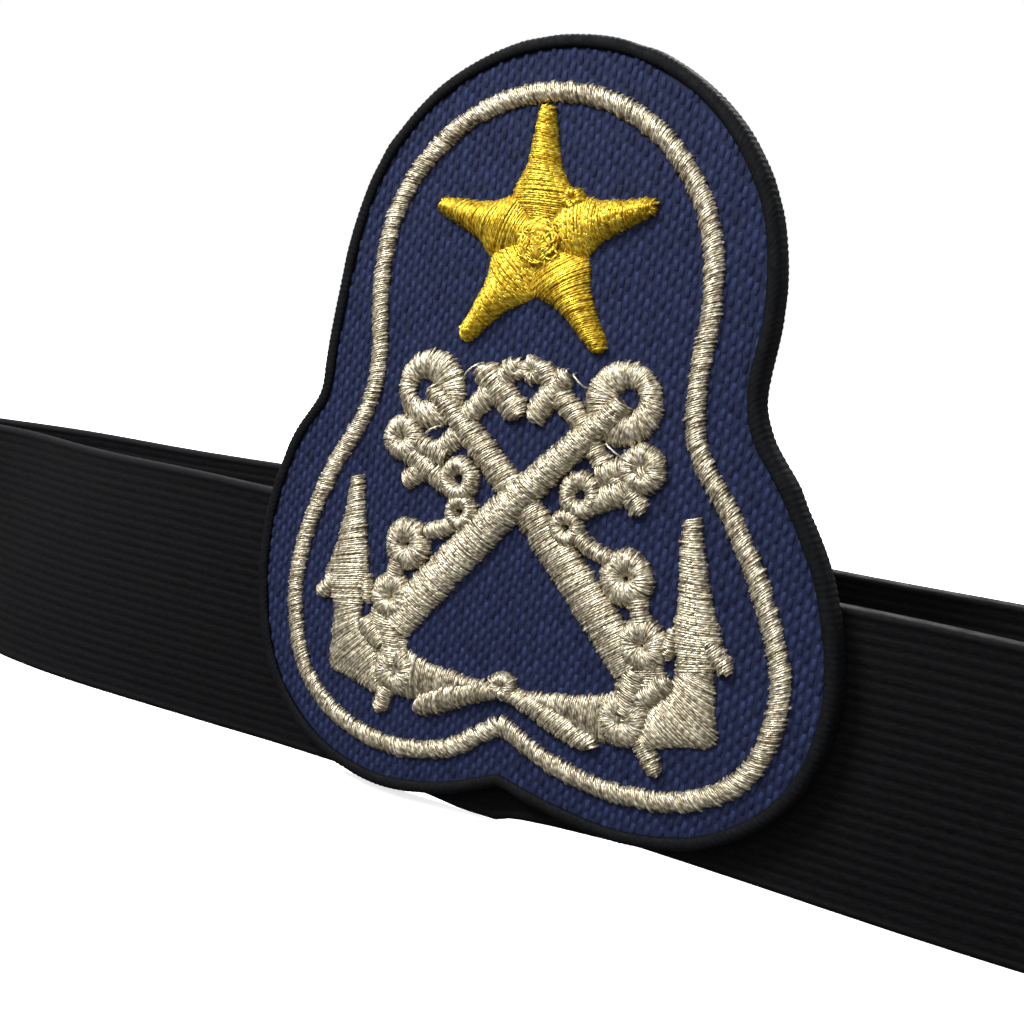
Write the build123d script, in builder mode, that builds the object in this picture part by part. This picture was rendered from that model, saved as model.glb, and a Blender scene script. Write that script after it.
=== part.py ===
"""Elastic cap band with a padded, embroidered cap badge sewn to its front.

The band is a closed loop of ribbed elastic that goes round a peaked cap. It stands on its lower
edge, pressed to a long lens shape, as it lies when nothing stretches it. +X is the viewer's right,
-Y is the front, +Z is up. The origin is in the middle of the whole object, at the height of the
band's lower edge.
"""

from build123d import *
from math import cos, radians, sin
import os

os.makedirs("parts", exist_ok=True)

# Elastic band
band_height = 30.0
band_thickness = 1.3
loop_depth = 25.0  # centreline to centreline, front run to rear run
straight_half = 38.0  # half of the flat run behind the badge
front_bend_radius = 320.0
front_bend_angle = 13.0
fold_radius = 5.0
rear_bend_angle = 8.5
lap_length = 20.0  # the two ends of the elastic overlap this far at the rear

# Badge, seen from the front: its own origin is where the two anchors cross
crossing_height = 35.0
badge_lean = 2.9  # degrees, the badge against the band
head_centre = 22.0
head_radius = 24.0
rim_width = 1.5
tuck = 0.7  # how far the layers run in under the rim

# Badge layers, from the band outwards
felt_thickness = 0.5
board_thickness = 0.6
foam_thickness = 0.7
cloth_thickness = 0.4
rim_lip = 0.3

# Embroidery
outline_width = 1.9
outline_head_centre = 22.5
outline_head_radius = 19.7
satin_height = 0.9
over_height = 1.5  # satin that crosses over other satin
star_centre = (0.2, 27.2)
star_tip_radius = 13.4
star_root_radius = 5.8
star_tip_round = 0.8
star_height = 1.5
star_padding_height = 0.6
star_padding_inset = 0.7
boss_radius = 2.4
boss_height = 0.4

# Sewing thread
thread = 0.4
stitch_length = 2.2
stitch_pitch = 3.2
seam_inset = 2.5  # stitch rows from the edges of the lap
tack_columns = 22.0  # the rows that hold the badge, either side of its middle

half_depth = loop_depth / 2
band_face = half_depth + band_thickness / 2
layers_top = rim_lip + felt_thickness + board_thickness + foam_thickness + cloth_thickness
rim_thickness = layers_top + rim_lip

# The loop stands a little behind the origin, which is midway from the star's boss to the lapped seam
front_reach = band_face + layers_top + star_height + boss_height
rear_reach = band_face + band_thickness + thread
loop_middle = (front_reach - rear_reach) / 2

lean = radians(badge_lean)
badge_back = Plane(
    origin=(0, loop_middle - band_face, crossing_height),
    x_dir=(cos(lean), 0, sin(lean)),
    z_dir=(0, -1, 0),
)
cloth_face = badge_back.offset(layers_top)

# The right half of the badge, below its round head: waist, flank, lobe and the dip in the middle
cloth_flank = [
    (23.5, 12.5),
    (24.9, 8.2),
    (28.4, 3.1),
    (32.2, -5.5),
    (33.4, -15.5),
    (30.7, -24.4),
    (24.1, -30.2),
    (15.8, -32.3),
    (7.3, -31.4),
    (0.0, -29.4),
]
outline_flank = [
    (19.0, 12.5),
    (20.1, 7.3),
    (24.5, 0.3),
    (28.2, -8.0),
    (29.5, -15.5),
    (27.2, -23.2),
    (21.8, -27.5),
    (14.3, -29.0),
    (6.6, -27.7),
    (0.0, -24.4),
]


def save(piece, label):
    """Label a finished piece and write it to its own file."""
    piece.part.label = label
    export_step(piece.part, f"parts/{label}.step")


def badge_shape(centre, radius, flank, grow):
    """The badge's outline: a half circle over two mirrored flanks of arcs that run into each other."""
    top = centre + radius
    half_way = radius * sin(radians(45))
    with BuildSketch() as shape:
        with BuildLine():
            edge = ThreePointArc((0, top), (half_way, centre + half_way), (radius, centre))
            for point in flank:
                edge = TangentArc(edge @ 1, point, tangent=edge % 1)
            mirror(about=Plane.YZ)
        make_face()
        if grow:
            offset(amount=grow)
    return shape.sketch


def cloth_shape(grow=0.0):
    return badge_shape(head_centre, head_radius, cloth_flank, grow)


def outline_shape(grow):
    return badge_shape(outline_head_centre, outline_head_radius, outline_flank, grow)


def column(path, widths):
    """The two edges of a satin column that follows a path and changes width along it."""
    left_edge = []
    right_edge = []
    for i, (point, width) in enumerate(zip(path, widths)):
        before = Vector(*path[max(i - 1, 0)])
        after = Vector(*path[min(i + 1, len(path) - 1)])
        along = (after - before).normalized()
        across = Vector(-along.Y, along.X) * (width / 2)
        left_edge.append(Vector(*point) + across)
        right_edge.append(Vector(*point) - across)
    return left_edge + right_edge[::-1]


def flipped(points, side):
    """Points drawn for the right-hand side, moved to the side asked for."""
    return [(side * x, y) for x, y in points]


# ---------------------------------------------------------------- elastic band

with BuildPart() as elastic_band:
    with BuildSketch(Plane.XY.move(Location((0, loop_middle, 0)))):
        with BuildLine():
            front = Line((0, -half_depth), (straight_half, -half_depth))
            bend = JernArc(front @ 1, front % 1, front_bend_radius, front_bend_angle)
            fold = JernArc(bend @ 1, bend % 1, fold_radius, 180 - front_bend_angle - rear_bend_angle)
            # The rear run's radius is the one that brings it level with the flat part of the rear
            rear_radius = (half_depth - (fold @ 1).Y) / (1 - cos(radians(rear_bend_angle)))
            rear_bend = JernArc(fold @ 1, fold % 1, rear_radius, rear_bend_angle)
            Line(rear_bend @ 1, (0, half_depth))
            mirror(about=Plane.YZ)
        centre = make_face()
        offset(centre, amount=band_thickness / 2, mode=Mode.ADD)
        offset(centre, amount=-band_thickness / 2, mode=Mode.SUBTRACT)
        with Locations((0, band_face + band_thickness / 2)):
            Rectangle(lap_length, band_thickness)
    extrude(amount=band_height)
save(elastic_band, "elastic_band")

# The box of stitches through the lapped ends, seen on the outside of the rear run
lap_face = Plane(
    origin=(0, loop_middle + band_face + band_thickness, band_height / 2),
    x_dir=(-1, 0, 0),
    z_dir=(0, 1, 0),
)
seam_half_width = lap_length / 2 - seam_inset
seam_half_height = band_height / 2 - seam_inset
with BuildPart() as rear_seam_stitches:
    with BuildSketch(lap_face):
        with Locations((0, seam_half_height), (0, -seam_half_height)):
            with GridLocations(stitch_pitch, 1, 4, 1):
                Rectangle(stitch_length, thread)
        with Locations((seam_half_width, 0), (-seam_half_width, 0)):
            with GridLocations(1, stitch_pitch, 1, 7):
                Rectangle(thread, stitch_length)
    extrude(amount=thread)
save(rear_seam_stitches, "rear_seam_stitches")

# Two columns of tacking stitches that hold the badge, seen on the inside of the front run
inner_face = Plane(
    origin=(0, loop_middle - half_depth + band_thickness / 2, band_height / 2),
    x_dir=(-1, 0, 0),
    z_dir=(0, 1, 0),
)
with BuildPart() as badge_tacking_stitches:
    with BuildSketch(inner_face):
        with GridLocations(2 * tack_columns, stitch_pitch, 2, 7):
            Rectangle(thread, stitch_length)
    extrude(amount=thread)
save(badge_tacking_stitches, "badge_tacking_stitches")

# ---------------------------------------------------------------- badge layers

layer_height = rim_lip
layers = {}
for layer, thickness in (
    ("backing_felt", felt_thickness),
    ("stiffener_board", board_thickness),
    ("foam_padding", foam_thickness),
    ("ground_cloth", cloth_thickness),
):
    with BuildPart() as sheet:
        with BuildSketch(badge_back.offset(layer_height)):
            add(cloth_shape(tuck))
        extrude(amount=thickness)
    save(sheet, layer)
    layers[layer] = sheet.part
    layer_height += thickness

# The rolled rim grips the layers' edge: an outer wall with a lip in front and one behind
with BuildPart() as edge_binding:
    with BuildSketch(badge_back):
        add(cloth_shape(rim_width))
        add(cloth_shape(), mode=Mode.SUBTRACT)
    extrude(amount=rim_thickness)
    for sheet in layers.values():
        add(sheet, mode=Mode.SUBTRACT)
save(edge_binding, "edge_binding")

# ---------------------------------------------------------------- silver outline

with BuildPart() as silver_outline:
    with BuildSketch(cloth_face):
        add(outline_shape(outline_width / 2))
        add(outline_shape(-outline_width / 2), mode=Mode.SUBTRACT)
    extrude(amount=satin_height)
save(silver_outline, "silver_outline")

# ---------------------------------------------------------------- star


def star_point(radius, turn):
    """A point of the star, counted in tenths of a turn from its top."""
    angle = radians(90 - 36 * turn)
    return (star_centre[0] + radius * cos(angle), star_centre[1] + radius * sin(angle))


with BuildPart() as star_padding:
    with BuildSketch(cloth_face):
        with BuildLine():
            corners = []
            for turn in range(0, 10, 2):
                corners.append(star_point(star_tip_radius, turn))
                corners.append(star_point(star_root_radius, turn + 1))
            Polyline(*corners, close=True)
        make_face()
        offset(amount=-star_padding_inset, kind=Kind.INTERSECTION)
    extrude(amount=star_padding_height)
save(star_padding, "star_padding")

for turn, arm_name in (
    (0, "star_arm_top"),
    (2, "star_arm_right"),
    (4, "star_arm_lower_right"),
    (6, "star_arm_lower_left"),
    (8, "star_arm_left"),
):
    tip = star_point(star_tip_radius, turn)
    with BuildPart() as star_arm:
        with BuildSketch(cloth_face) as kite:
            with BuildLine():
                Polyline(
                    star_centre,
                    star_point(star_root_radius, turn - 1),
                    tip,
                    star_point(star_root_radius, turn + 1),
                    close=True,
                )
            make_face()
        with BuildSketch(cloth_face) as rounded_kite:
            add(kite.sketch_local)
            fillet(rounded_kite.vertices().sort_by_distance((*tip, 0))[0], star_tip_round)
        extrude(rounded_kite.sketch, amount=star_height)
        add(star_padding.part, mode=Mode.SUBTRACT)
    save(star_arm, arm_name)

with BuildPart() as star_boss:
    with BuildSketch(cloth_face.offset(star_height)):
        with Locations(star_centre):
            Circle(boss_radius)
    extrude(amount=boss_height)
save(star_boss, "star_boss")

# ---------------------------------------------------------------- anchors and rope

# Every shape is drawn for the right-hand side of the badge
ring_centre = (11.6, 11.2)
ring_radius = 4.3
ring_hole = 0.9
shank_path = [(-9.2, 9.0), (-6.2, 6.2), (0.0, 0.2), (6.0, -6.0), (14.5, -15.2)]
shank_widths = [2.8, 3.0, 3.6, 4.2, 4.6]
stock_path = [(13.9, 0.4), (8.0, 6.6), (4.2, 10.4), (1.2, 14.4)]
stock_widths = [2.2, 2.4, 2.6, 2.2]
outer_fluke_edge = [
    (20.5, 0.3),
    (22.0, 0.3),
    (22.9, -5.0),
    (25.1, -11.0),
    (24.7, -14.3),
    (23.3, -13.4),
    (23.3, -22.2),
    (20.0, -23.0),
    (16.2, -24.2),
    (15.3, -17.6),
    (18.6, -15.3),
    (18.6, -11.0),
    (19.9, -4.0),
]
inner_arm_edge = [
    (15.3, -17.6),
    (13.0, -17.9),
    (10.0, -19.2),
    (6.0, -19.9),
    (0.3, -19.4),
    (0.3, -21.9),
    (4.0, -23.8),
    (7.5, -25.5),
    (10.9, -25.6),
    (12.0, -24.2),
    (16.2, -24.2),
]
bill_path = [(15.6, -24.2), (16.8, -26.2)]
bill_widths = [1.5, 1.3]
rope_curls = [
    ((15.0, 5.3), 2.5),
    ((7.4, 1.4), 2.4),
    ((6.8, -2.2), 1.9),
    ((13.6, -6.6), 2.7),
    ((15.6, -12.6), 2.4),
]
rope_links = [
    ([(15.0, 5.3), (12.0, 2.4), (7.4, 1.4)], [2.2, 2.2, 2.2]),
    ([(6.8, -2.2), (9.5, -4.6), (13.6, -6.6)], [1.5, 1.5, 1.5]),
    ([(13.6, -6.6), (15.2, -9.6), (15.6, -12.6)], [1.7, 1.7, 1.7]),
]
crossing_paths = [
    ([(-5.5, 13.7), (-1.0, 9.0)], [3.0, 2.6]),
    ([(4.9, 13.6), (1.0, 9.2)], [2.0, 2.0]),
]
stub_path = [(17.0, -13.2), (19.2, -13.6)]
stub_widths = [1.2, 1.0]

sewn = []


def sew(piece, label):
    """Save an embroidered piece and keep it, so that later pieces are cut to fit round it."""
    save(piece, label)
    sewn.append(piece.part)


# The under anchor's ring is on the left and its flukes on the right; the over anchor mirrors it
for anchor, side, shank_height in (
    ("under_anchor", 1, satin_height),
    ("over_anchor", -1, over_height),
):
    with BuildPart() as ring:
        with BuildSketch(cloth_face):
            with Locations((-side * ring_centre[0], ring_centre[1])):
                Circle(ring_radius)
                Circle(ring_hole, mode=Mode.SUBTRACT)
        extrude(amount=satin_height)
    sew(ring, f"{anchor}_ring")

    for label, corners, height in (
        ("outer_fluke", outer_fluke_edge, satin_height),
        ("inner_arm", inner_arm_edge, satin_height),
        ("bill", column(bill_path, bill_widths), satin_height),
        ("shank", column(shank_path, shank_widths), shank_height),
        ("stock", column([(-x, y) for x, y in stock_path], stock_widths), shank_height),
    ):
        with BuildPart() as piece:
            with BuildSketch(cloth_face):
                with BuildLine():
                    Polyline(*[(side * Vector(*c).X, Vector(*c).Y) for c in corners], close=True)
                make_face()
            extrude(amount=height)
            for other in sewn:
                add(other, mode=Mode.SUBTRACT)
        sew(piece, f"{anchor}_{label}")

with BuildPart() as rope_crossing:
    for path, widths in crossing_paths:
        with BuildSketch(cloth_face):
            with BuildLine():
                Polyline(*column(path, widths), close=True)
            make_face()
        extrude(amount=satin_height)
    for other in sewn:
        add(other, mode=Mode.SUBTRACT)
sew(rope_crossing, "rope_crossing")

for label, side in (("rope_left", -1), ("rope_right", 1)):
    with BuildPart() as rope:
        with BuildSketch(cloth_face):
            for curl_centre, curl_radius in rope_curls:
                with Locations((side * curl_centre[0], curl_centre[1])):
                    Circle(curl_radius)
            for path, widths in rope_links + [(stub_path, stub_widths)]:
                with BuildLine():
                    Polyline(*column(flipped(path, side), widths), close=True)
                make_face()
        extrude(amount=satin_height)
        for other in sewn:
            add(other, mode=Mode.SUBTRACT)
    sew(rope, label)

loop_length = sum(edge.length for edge in elastic_band.edges().group_by(Axis.Z)[0]) / 2
print("length of elastic round the loop", round(loop_length), "mm")
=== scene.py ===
"""The looks of the cap band and its embroidered badge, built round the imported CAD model.

Sewn pieces are drawn in badge millimetres: x to the right, y up, height out of the cloth, from the
point where the two anchors cross. Every stitch is a thread of its own.
"""

from math import cos, pi, radians, sin

import bpy
import numpy as np
from mathutils import Matrix, Vector


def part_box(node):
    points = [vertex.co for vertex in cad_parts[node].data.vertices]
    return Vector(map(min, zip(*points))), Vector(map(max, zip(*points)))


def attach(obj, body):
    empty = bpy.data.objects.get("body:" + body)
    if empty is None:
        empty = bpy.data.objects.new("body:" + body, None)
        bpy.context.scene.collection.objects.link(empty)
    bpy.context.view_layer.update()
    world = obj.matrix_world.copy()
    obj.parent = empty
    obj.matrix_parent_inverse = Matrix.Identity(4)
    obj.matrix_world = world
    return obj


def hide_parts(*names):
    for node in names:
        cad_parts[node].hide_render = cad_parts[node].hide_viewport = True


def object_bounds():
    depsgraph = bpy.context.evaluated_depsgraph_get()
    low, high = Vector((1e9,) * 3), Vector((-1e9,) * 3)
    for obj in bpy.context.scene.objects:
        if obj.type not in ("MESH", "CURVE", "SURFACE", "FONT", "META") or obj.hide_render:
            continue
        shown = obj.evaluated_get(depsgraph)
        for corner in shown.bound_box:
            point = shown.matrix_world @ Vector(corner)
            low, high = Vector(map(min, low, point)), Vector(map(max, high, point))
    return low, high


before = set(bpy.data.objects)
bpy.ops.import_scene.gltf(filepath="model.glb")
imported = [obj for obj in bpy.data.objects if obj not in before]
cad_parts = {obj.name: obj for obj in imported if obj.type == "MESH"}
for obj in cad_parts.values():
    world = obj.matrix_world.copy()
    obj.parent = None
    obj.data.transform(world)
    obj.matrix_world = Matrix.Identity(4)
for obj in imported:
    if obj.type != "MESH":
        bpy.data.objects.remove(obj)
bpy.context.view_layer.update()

MM = 0.001
scene = bpy.context.scene

# ---- where things are

band_low, band_high = (np.array(corner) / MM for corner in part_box("elastic_band"))
cloth_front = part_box("ground_cloth")[0][1] / MM
rim_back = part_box("edge_binding")[1][1] / MM
boss_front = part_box("star_boss")[0][1] / MM

BAND_HEIGHT = band_high[2]
BAND_THICKNESS = 1.3
LAP = 20.0
BADGE_LEAN = radians(2.9)  # its top leans to the left
CROSSING_HEIGHT = 35.0  # where the anchors cross, above the band's lower edge
STAR = np.array([0.2, 27.2])

BADGE_X = np.array([cos(BADGE_LEAN), 0, sin(BADGE_LEAN)])
BADGE_Y = np.array([-sin(BADGE_LEAN), 0, cos(BADGE_LEAN)])
BADGE_OUT = np.array([0, -1, 0])
CLOTH_FACE = np.array([0, cloth_front, CROSSING_HEIGHT])


class Place:
    """A flat place with its own x, y and height, all in millimetres."""

    def __init__(self, origin, x_axis, y_axis, out):
        self.origin = np.array(origin, float)
        self.axes = np.array([x_axis, y_axis, out], float)

    def __call__(self, points):
        return (self.origin + np.asarray(points) @ self.axes) * MM


on_badge = Place(CLOTH_FACE, BADGE_X, BADGE_Y, BADGE_OUT)

# ---- curves


def unit(vectors):
    return vectors / np.linalg.norm(vectors, axis=-1, keepdims=True)


def left_of(directions):
    return np.stack([-directions[..., 1], directions[..., 0]], -1)


def ray(angle):
    """Unit vectors at angles from the x axis."""
    return np.stack([np.cos(angle), np.sin(angle)], -1)


def raised(flat, high):
    """Flat points, each with its height."""
    return np.concatenate([flat, high[..., None]], axis=-1)


def line_length(line):
    return np.linalg.norm(np.diff(line, axis=0), axis=1).sum()


def resample(line, count):
    """Points spread evenly along a line; only x and y count towards its length."""
    steps = np.linalg.norm(np.diff(line[:, :2], axis=0), axis=1)
    lengths = np.concatenate([[0], np.cumsum(steps)])
    wanted = np.linspace(0, lengths[-1], count)
    return np.stack([np.interp(wanted, lengths, column) for column in line.T], axis=1)


def smooth(points, per_span=16):
    """A smooth line through the points, whatever they hold besides x and y."""
    p = np.array(points, float)
    p = np.vstack([2 * p[0] - p[1], p, 2 * p[-1] - p[-2]])
    t = np.linspace(0, 1, per_span, endpoint=False)[:, None]
    spans = []
    for a, b, c, d in zip(p, p[1:], p[2:], p[3:]):
        cubic = (3 * (b - c) + d - a) * t**3
        square = (2 * a - 5 * b + 4 * c - d) * t**2
        spans.append((2 * b + (c - a) * t + square + cubic) / 2)
    return np.vstack([*spans, p[-2:-1]])


def badge_line(head_centre, head_radius, left_flank, right_flank):
    """The badge's closed outline, clockwise from the notch at the bottom."""
    turn = np.radians(np.arange(165, 14, -15))
    head = np.array(head_centre) + head_radius * ray(turn)
    return smooth([*left_flank, *head, *right_flank[::-1]])


def grown(line, amount):
    """The outline moved outwards; its two halves stay on their own sides of the notch."""
    along = np.gradient(line, axis=0)
    along[0] = line[1] - line[0]
    along[-1] = line[-1] - line[-2]
    moved = line + unit(left_of(along)) * amount
    crossed = moved[:, 0] * np.sign(line[:, 0]) < 0
    moved[crossed, 0] = 0
    return moved


# The edge was cut by hand, so its two flanks differ a little; each runs from the notch up to the head
CLOTH_LEFT = [
    (0.0, -29.9), (-7.6, -32.6), (-16.4, -33.4), (-24.6, -30.7), (-30.8, -24.4), (-33.4, -15.5),
    (-33.0, -5.5), (-29.8, 3.5), (-26.1, 8.9), (-25.1, 15.0), (-24.0, 21.6),
]
CLOTH_RIGHT = [
    (0.0, -29.9), (7.4, -31.7), (15.9, -32.5), (24.4, -30.5), (31.2, -24.7), (34.0, -15.7),
    (32.5, -5.5), (28.4, 3.1), (25.0, 8.3), (23.9, 13.2), (24.8, 21.0),
]
OUTLINE_LEFT = [
    (0.0, -24.4), (-6.9, -28.6), (-14.7, -29.7), (-21.9, -27.7), (-27.0, -23.1), (-29.1, -15.4),
    (-28.3, -8.0), (-25.0, 0.4), (-20.7, 7.6), (-19.2, 13.5), (-19.6, 21.0),
]
OUTLINE_RIGHT = [
    (0.0, -24.4), (6.5, -27.4), (14.2, -28.8), (22.0, -27.7), (27.8, -23.5), (30.0, -15.6),
    (28.1, -8.0), (24.0, 0.2), (19.6, 7.0), (18.9, 13.5), (19.6, 21.0),
]
cloth_line = badge_line((0.8, 22.3), 24.1, CLOTH_LEFT, CLOTH_RIGHT)
silver_line = badge_line((0.0, 22.5), 19.6, OUTLINE_LEFT, OUTLINE_RIGHT)

# ---- meshes


def grid_faces(rows, columns, wrap_rows=False, wrap_columns=False):
    """The quads of a grid of points, closed into a ring where it wraps."""
    r = np.arange(rows if wrap_rows else rows - 1)[:, None]
    c = np.arange(columns if wrap_columns else columns - 1)[None, :]
    r_next = (r + 1) % rows
    c_next = (c + 1) % columns
    corners = [r * columns + c, r * columns + c_next, r_next * columns + c_next, r_next * columns + c]
    return np.stack([np.broadcast_to(corner, (r.size, c.size)) for corner in corners], -1).reshape(-1, 4)


def make_object(name, points, faces, material, **values):
    """A smooth-shaded mesh object from metres, with named values for each point."""
    mesh = bpy.data.meshes.new(name)
    mesh.from_pydata(points.tolist(), [], faces if isinstance(faces, list) else faces.tolist())
    mesh.polygons.foreach_set("use_smooth", [True] * len(mesh.polygons))
    for value_name, value in values.items():
        layer = mesh.attributes.new(value_name, "FLOAT", "POINT")
        layer.data.foreach_set("value", np.asarray(value, np.float32))
    mesh.materials.append(material)
    mesh.update()
    piece = bpy.data.objects.new(name, mesh)
    scene.collection.objects.link(piece)
    return piece


def fit(piece, slot, *nodes):
    """Tie a piece to the object, and hide the CAD nodes that it stands for; the slot is not used."""
    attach(piece, "root")
    if nodes:
        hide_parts(*nodes)


THREAD_WIDTH = 0.29
THREAD_HEIGHT = 0.26
THREAD_SIDES = 6
STITCH_PITCH = 0.235  # from one stitch to the next
TWIST_PITCH = 0.8  # length of one turn of the thread's foil
# Where a stitch has its points, as shares of its length; closer near the ends, where it bends down
ACROSS = np.array([0.0, 0.035, 0.11, 0.24, 0.41, 0.59, 0.76, 0.89, 0.965, 1.0])
PART_ACROSS = np.array([0.0, 0.08, 0.24, 0.5, 0.76, 0.92, 1.0])
PART_DIP = 0.08  # how far a split stitch dips where it is tied down
SINK = 0.2  # how far a stitch's ends go into the cloth
PADDING_SHARE = 0.84  # height of the padding, as a share of the stitches over it
PADDING_POINTS = 9  # across the padding's top, and again across its floor


def settled(tall, length):
    """The height that a stitch reaches: a short one can't stand as high as a long one."""
    return tall * np.minimum(1, 0.45 + 0.35 * length)


class Sewing:
    """Collects the threads of one embroidered piece, and the padding under them."""

    def __init__(self, seed, place=on_badge):
        self.random = np.random.default_rng(seed)
        self.place = place
        self.points = []
        self.faces = []
        self.tints = []
        self.twists = []
        self.count = 0

    def add(self, points, faces, tint, twist=0.0):
        flat = points.reshape(-1, 3)
        self.points.append(flat)
        self.faces.append(faces + self.count)
        self.tints.append(np.broadcast_to(tint, len(flat)))
        self.twists.append(np.broadcast_to(twist, len(flat)))
        self.count += len(flat)

    def tubes(self, lines, tint, width=THREAD_WIDTH, height=THREAD_HEIGHT):
        """A closed, twisted thread along each row of points."""
        threads, along_count, _ = lines.shape
        along = np.gradient(lines, axis=1)
        flat_along = along * [1, 1, 0]
        flat_along /= np.linalg.norm(flat_along, axis=2)[..., None] + 1e-9
        side = np.stack([-flat_along[..., 1], flat_along[..., 0], 0 * flat_along[..., 0]], -1)
        up = np.cross(unit(along), side)
        share = np.arange(THREAD_SIDES) / THREAD_SIDES
        angle = (share - 0.25) * 2 * pi  # the twist's seam is underneath
        across = side[:, :, None] * np.cos(angle)[:, None] * width / 2
        above = up[:, :, None] * np.sin(angle)[:, None] * height / 2
        points = lines[:, :, None] + across + above
        sleeve = grid_faces(along_count, THREAD_SIDES, wrap_columns=True)
        last = (along_count - 1) * THREAD_SIDES
        cap = np.array([[0, 1, 2, 3], [0, 3, 4, 5]])
        one = np.vstack([sleeve, cap[:, ::-1], cap + last])
        step = along_count * THREAD_SIDES
        faces = (one[None] + (np.arange(threads) * step)[:, None, None]).reshape(-1, 4)
        spread = np.repeat(tint, step)
        # Each point's tint wanders a little: painted glints and dark dashes along the thread
        grain = self.random.normal(0, 0.14, (threads, along_count)).repeat(THREAD_SIDES, axis=1)
        hops = np.linalg.norm(np.diff(lines, axis=1), axis=2)
        travel = np.concatenate([self.random.uniform(0, 9, (threads, 1)), hops], axis=1).cumsum(axis=1)
        # The twist sets where the material paints each foil turn's glint and shade, and its bump
        twist = travel[:, :, None] / TWIST_PITCH + share
        self.add(points, faces, np.clip(spread + grain.reshape(-1), 0.05, 1), twist.reshape(-1))

    def satin(self, left, right, height=0.9, slant=0.0, round_power=0.42, ragged=0.12, split=0.0):
        """Stitches side by side between two rails; height may change along them."""
        rails = np.column_stack([left, right, np.broadcast_to(height, len(left))])
        dense = smooth(rails) if len(rails) < 60 else rails
        middle = (dense[:, :2] + dense[:, 2:4]) / 2
        outer_length = max(line_length(dense[:, :2]), line_length(dense[:, 2:4]))
        count = max(3, int(outer_length / STITCH_PITCH))
        stitches = resample(np.hstack([middle, dense]), count)[:, 2:]
        start, end, tall = stitches[:, :2], stitches[:, 2:4], stitches[:, 4]
        if slant:
            along = unit(np.gradient((start + end) / 2, axis=0))
            start = start + along * slant / 2
            end = end - along * slant / 2
        self.stitches(start, end, tall, round_power, ragged, split)
        self.padding(stitches[:, :2], stitches[:, 2:4], tall, round_power)

    def stitches(self, start, end, tall, round_power=0.42, ragged=0.12, split=0.0):
        """A thread from each start to its end, arched over the padding, tied down at each split."""
        count = len(start)
        length = np.linalg.norm(end - start, axis=1)[:, None]
        direction = (end - start) / length
        side = left_of(direction)
        start = start - direction * self.random.normal(0, ragged, (count, 1))
        end = end + direction * self.random.normal(0, ragged, (count, 1))
        start = start + side * self.random.normal(0, 0.02, (count, 1))
        end = end + side * self.random.normal(0, 0.02, (count, 1))
        bow = self.random.normal(0, 0.009, (count, 1)) * length
        tall = settled(tall, length[:, 0]) + self.random.normal(0, 0.025, count)
        if split:
            share, dip, owner = self.parts(length[:, 0], split)
        else:
            share, dip, owner = np.tile(ACROSS, (count, 1)), 0.0, np.arange(count)
        start, end, side, bow, tall = start[owner], end[owner], side[owner], bow[owner], tall[owner]
        arch = np.sin(pi * share) ** round_power
        flat = start[:, None] + (end - start)[:, None] * share[..., None]
        flat = flat + side[:, None] * (bow * np.sin(pi * share))[..., None]
        high = -SINK + (tall[:, None] - THREAD_HEIGHT / 2 + SINK) * arch - dip
        # Each stitch's tint is partly random tone and partly painted glint; split stitches get lighter
        # tints as painted glints
        shade = (0.42, 0.98) if split else (0.30, 0.86)
        tint = self.random.uniform(*shade, len(owner))
        self.tubes(raised(flat, high), tint=tint)

    def grains(self, middles, reaches, tall):
        """Short stitches that lie on the padding."""
        share = PART_ACROSS[:, None]
        flat = middles[:, None] + reaches[:, None] * (2 * share - 1)
        high = tall[:, None] - THREAD_HEIGHT / 2 - 0.12 * (1 - np.sin(pi * PART_ACROSS) ** 0.5)
        # Lighter tints than plain satin: partly random tone, partly painted glints on the short stitches
        self.tubes(raised(flat, high), tint=self.random.uniform(0.4, 1.0, len(flat)))

    def parts(self, lengths, part_length):
        """Cuts long stitches into short ones, at places that differ from each to the next."""
        shares, owners = [], []
        for i, length in enumerate(lengths):
            cuts = max(0, round(length / part_length) - 1)
            places = (np.arange(cuts) + 1 + self.random.uniform(-0.42, 0.42, cuts)) / (cuts + 1)
            ends = np.concatenate([[0], places, [1]])
            for low, high in zip(ends, ends[1:]):
                shares.append(low + (high - low) * PART_ACROSS)
                owners.append(i)
        dip = PART_DIP * (1 - np.sin(pi * PART_ACROSS) ** 0.4)
        return np.array(shares), dip, np.array(owners)

    def padding(self, left, right, tall, round_power):
        """The bed under a row of stitches, so that no cloth shows between them; its dark tint is painted
        shade between the stitches.
        """
        share = np.linspace(0.03, 0.97, PADDING_POINTS)
        flat = left[:, None] + (right - left)[:, None] * share[:, None]
        tall = settled(tall, np.linalg.norm(right - left, axis=1)) * PADDING_SHARE
        high = -SINK + (tall[:, None] + SINK) * np.sin(pi * share) ** round_power
        floor = raised(flat, np.full_like(high, -SINK - 0.05))
        around = np.concatenate([raised(flat, high), floor[:, ::-1]], axis=1)
        rows, columns, _ = around.shape
        faces = grid_faces(rows, columns, wrap_columns=True)
        strip = np.arange(PADDING_POINTS - 1)
        below = columns - 1 - strip
        cap = np.stack([strip, below, below - 1, strip + 1], 1)
        # Tint 0.24, below the threads' tints: painted shade between the stitches
        self.add(around, np.vstack([faces, cap[:, ::-1], cap + (rows - 1) * columns]), 0.24)

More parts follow.
